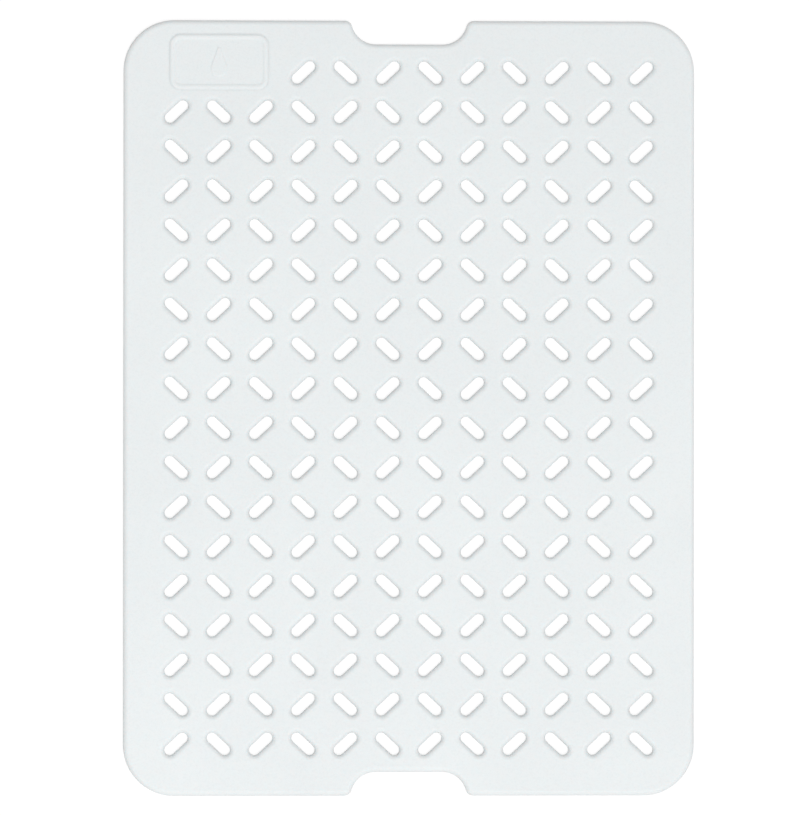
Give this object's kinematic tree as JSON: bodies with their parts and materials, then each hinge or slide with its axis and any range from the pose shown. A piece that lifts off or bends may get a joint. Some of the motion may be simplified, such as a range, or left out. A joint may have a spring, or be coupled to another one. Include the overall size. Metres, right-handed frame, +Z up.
{
  "type": "perforated drain plate",
  "caption": "Thin rectangular moulded plate with rounded corners, a lattice of short diagonal slots, finger notches at both short ends and a low badge in one corner.",
  "frame": {"origin": "middle of the flat underside, midway between the two sides and the two short ends", "axes": "+X across the plate, +Y along it to the short end with the badge, +Z up out of the rounded face"},
  "size_m": [0.343, 0.465, 0.0056],
  "materials": {
    "plate_plastic": "satin",
    "badge_plastic": "satin"
  },
  "bodies": {
    "root": {"slotted_plate": "plate_plastic", "drain_badge": "badge_plastic"}
  },
  "joints": []
}
